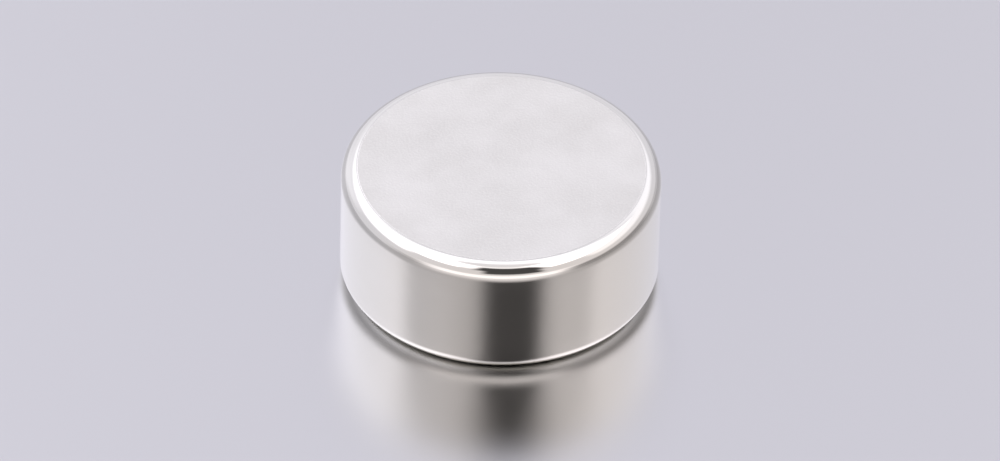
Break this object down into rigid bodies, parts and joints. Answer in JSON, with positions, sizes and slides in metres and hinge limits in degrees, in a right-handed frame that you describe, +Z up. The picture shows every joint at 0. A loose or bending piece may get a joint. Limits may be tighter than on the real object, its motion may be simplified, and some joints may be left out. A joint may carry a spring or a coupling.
{
  "type": "disc magnet",
  "caption": "Tiny plain round disc magnet, nickel plated all over, with satin flat faces, a mirror-bright wall and rounded edges.",
  "frame": {"origin": "centre of the lower flat face, on which the disc lies", "axes": "+Z up through the disc from face to face, along its magnetic axis; X and Y lie in the lower face and are alike, because the disc is round"},
  "size_m": [0.002, 0.002, 0.0008],
  "materials": {
    "nickel_plating": "nickel plating on a sintered magnet: satin on both flat faces, mirror bright on the wall and the rounded edges"
  },
  "bodies": {
    "root": {"disc_magnet": "nickel_plating"}
  },
  "joints": []
}
